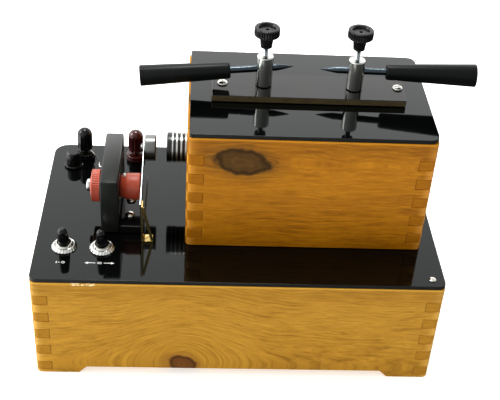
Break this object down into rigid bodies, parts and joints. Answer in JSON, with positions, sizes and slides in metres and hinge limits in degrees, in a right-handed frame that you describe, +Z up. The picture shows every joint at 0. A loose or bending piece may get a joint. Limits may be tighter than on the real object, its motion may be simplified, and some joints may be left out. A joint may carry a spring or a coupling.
{
  "type": "spark coil",
  "caption": "Wooden-cased induction coil with a hammer interrupter, toggle switches, screw terminals and an adjustable spark gap on top of a coil tower.",
  "frame": {"origin": "under the middle of the whole object, on the surface that the feet stand on", "axes": "+X to the right along the spark gap, +Y to the back, +Z up"},
  "size_m": [0.3189, 0.172, 0.2451],
  "materials": {
    "wood": "honey-brown varnished wood with straight grain and dark knots",
    "gloss_black": "polished black acrylic sheet",
    "kraft": "brown pressed board and waxed card",
    "bakelite": "polished dark phenolic sheet with a brown sawn edge",
    "black_plastic": "moulded black phenolic plastic",
    "grip_black": "matte black moulded grip",
    "maroon_plastic": "dark red moulded plastic",
    "red_plastic": "bright red moulded plastic",
    "chrome": "bright nickel and chrome plating",
    "steel": "turned bright steel",
    "brass": "plain brass strip",
    "copper": "enamelled copper wire"
  },
  "bodies": {
    "root": {"case_front_board": "wood", "case_back_board": "wood", "case_left_board": "wood", "case_right_board": "wood", "tower_front_board": "wood", "tower_back_board": "wood", "tower_left_board": "wood", "tower_right_board": "wood", "case_panel": "gloss_black", "tower_panel": "gloss_black", "case_floor": "kraft", "condenser": "kraft", "spark_plate": "bakelite", "bobbin": "bakelite", "interrupter_upright": "black_plastic", "interrupter_base": "black_plastic", "power_switch_body": "black_plastic", "reversing_switch_body": "black_plastic", "black_terminal_base": "black_plastic", "fuse_holder": "black_plastic", "black_supply_lead": "grip_black", "red_terminal_base": "maroon_plastic", "contact_bush": "red_plastic", "red_supply_lead": "red_plastic", "panel_screw": "chrome", "plate_screw_left": "chrome", "plate_screw_right": "chrome", "base_screw_front": "chrome", "base_screw_back": "chrome", "power_switch_nut": "chrome", "reversing_switch_nut": "chrome", "link_wire": "chrome", "iron_core": "steel", "reed_bracket": "brass", "primary_winding": "copper", "secondary_winding": "copper", "left_secondary_lead": "copper", "right_secondary_lead": "copper"},
    "left_post": {"left_post": "chrome"},
    "left_electrode": {"left_rod": "steel", "left_handle": "grip_black"},
    "left_clamp_screw": {"left_clamp_screw": "steel"},
    "left_clamp_knob": {"left_clamp_knob": "black_plastic"},
    "right_post": {"right_post": "chrome"},
    "right_electrode": {"right_rod": "steel", "right_handle": "grip_black"},
    "right_clamp_screw": {"right_clamp_screw": "steel"},
    "right_clamp_knob": {"right_clamp_knob": "black_plastic"},
    "contact_screw": {"contact_screw": "chrome"},
    "contact_knob": {"contact_knob": "red_plastic"},
    "reed": {"reed": "steel", "hammer": "steel"},
    "power_switch_lever": {"power_switch_lever": "black_plastic"},
    "reversing_switch_lever": {"reversing_switch_lever": "black_plastic"},
    "black_terminal_insert": {"black_terminal_insert": "brass"},
    "black_terminal_cap": {"black_terminal_cap": "black_plastic"},
    "red_terminal_insert": {"red_terminal_insert": "brass"},
    "red_terminal_cap": {"red_terminal_cap": "maroon_plastic"},
    "fuse_cap": {"fuse_cap": "black_plastic"}
  },
  "joints": [
    {"name": "left_post_swivel", "type": "hinge", "parent": "root", "child": "left_post", "pos_m": [0.00535, 0.017, 0.1917], "axis": [0, 0, 1], "range_deg": [-20, 20]},
    {"name": "left_electrode_slide", "type": "slide", "parent": "left_post", "child": "left_electrode", "axis": [0.9955, 0.0661, 0.068], "range_m": [-0.015, 0.009]},
    {"name": "left_clamp_lift", "type": "slide", "parent": "left_post", "child": "left_clamp_screw", "axis": [0, 0, 1], "range_m": [0, 0.0014]},
    {"name": "left_clamp_turn", "type": "hinge", "parent": "left_clamp_screw", "child": "left_clamp_knob", "pos_m": [0.00535, 0.017, 0.2317], "axis": [0, 0, 1], "range_deg": [0, 720.5]},
    {"name": "right_post_swivel", "type": "hinge", "parent": "root", "child": "right_post", "pos_m": [0.07205, 0.0154, 0.1917], "axis": [0, 0, 1], "range_deg": [-20, 20]},
    {"name": "right_electrode_slide", "type": "slide", "parent": "right_post", "child": "right_electrode", "axis": [-0.9966, 0.0767, -0.0314], "range_m": [-0.015, 0.009]},
    {"name": "right_clamp_lift", "type": "slide", "parent": "right_post", "child": "right_clamp_screw", "axis": [0, 0, 1], "range_m": [0, 0.0014]},
    {"name": "right_clamp_turn", "type": "hinge", "parent": "right_clamp_screw", "child": "right_clamp_knob", "pos_m": [0.07205, 0.0154, 0.2317], "axis": [0, 0, 1], "range_deg": [0, 720.5]},
    {"name": "contact_travel", "type": "slide", "parent": "root", "child": "contact_screw", "axis": [1, 0, 0], "range_m": [-0.0014, 0]},
    {"name": "contact_turn", "type": "hinge", "parent": "contact_screw", "child": "contact_knob", "pos_m": [-0.11645, -0.009, 0.1204], "axis": [1, 0, 0], "range_deg": [-720.5, 0]},
    {"name": "reed_flex", "type": "hinge", "parent": "root", "child": "reed", "pos_m": [-0.08245, -0.0385, 0.1376], "axis": [0, 0, 1], "range_deg": [-4, 0], "stiffness_Nm_per_rad": 0.6},
    {"name": "power_switch_throw", "type": "hinge", "parent": "root", "child": "power_switch_lever", "pos_m": [-0.13795, -0.049, 0.0941], "axis": [1, 0, 0], "range_deg": [-35, 0]},
    {"name": "reversing_switch_throw", "type": "hinge", "parent": "root", "child": "reversing_switch_lever", "pos_m": [-0.11015, -0.05, 0.0941], "axis": [1, 0, 0], "range_deg": [-35, 0]},
    {"name": "black_terminal_lift", "type": "slide", "parent": "root", "child": "black_terminal_insert", "axis": [0, 0, 1], "range_m": [0, 0.0014]},
    {"name": "black_terminal_turn", "type": "hinge", "parent": "black_terminal_insert", "child": "black_terminal_cap", "pos_m": [-0.13345, 0.069, 0.1081], "axis": [0, 0, 1], "range_deg": [0, 720.5]},
    {"name": "red_terminal_lift", "type": "slide", "parent": "root", "child": "red_terminal_insert", "axis": [0, 0, 1], "range_m": [0, 0.0014]},
    {"name": "red_terminal_turn", "type": "hinge", "parent": "red_terminal_insert", "child": "red_terminal_cap", "pos_m": [-0.09195, 0.068, 0.1081], "axis": [0, 0, 1], "range_deg": [0, 720.5]},
    {"name": "fuse_cap_turn", "type": "hinge", "parent": "root", "child": "fuse_cap", "pos_m": [-0.14165, 0.056, 0.0981], "axis": [0, 0, 1], "range_deg": [0, 90]}
  ],
  "couplings": [
    {"joint": "left_clamp_turn", "follows": "left_clamp_lift", "rad_per_m": 8976},
    {"joint": "right_clamp_turn", "follows": "right_clamp_lift", "rad_per_m": 8976},
    {"joint": "contact_turn", "follows": "contact_travel", "rad_per_m": 8976},
    {"joint": "black_terminal_turn", "follows": "black_terminal_lift", "rad_per_m": 8976},
    {"joint": "red_terminal_turn", "follows": "red_terminal_lift", "rad_per_m": 8976}
  ]
}
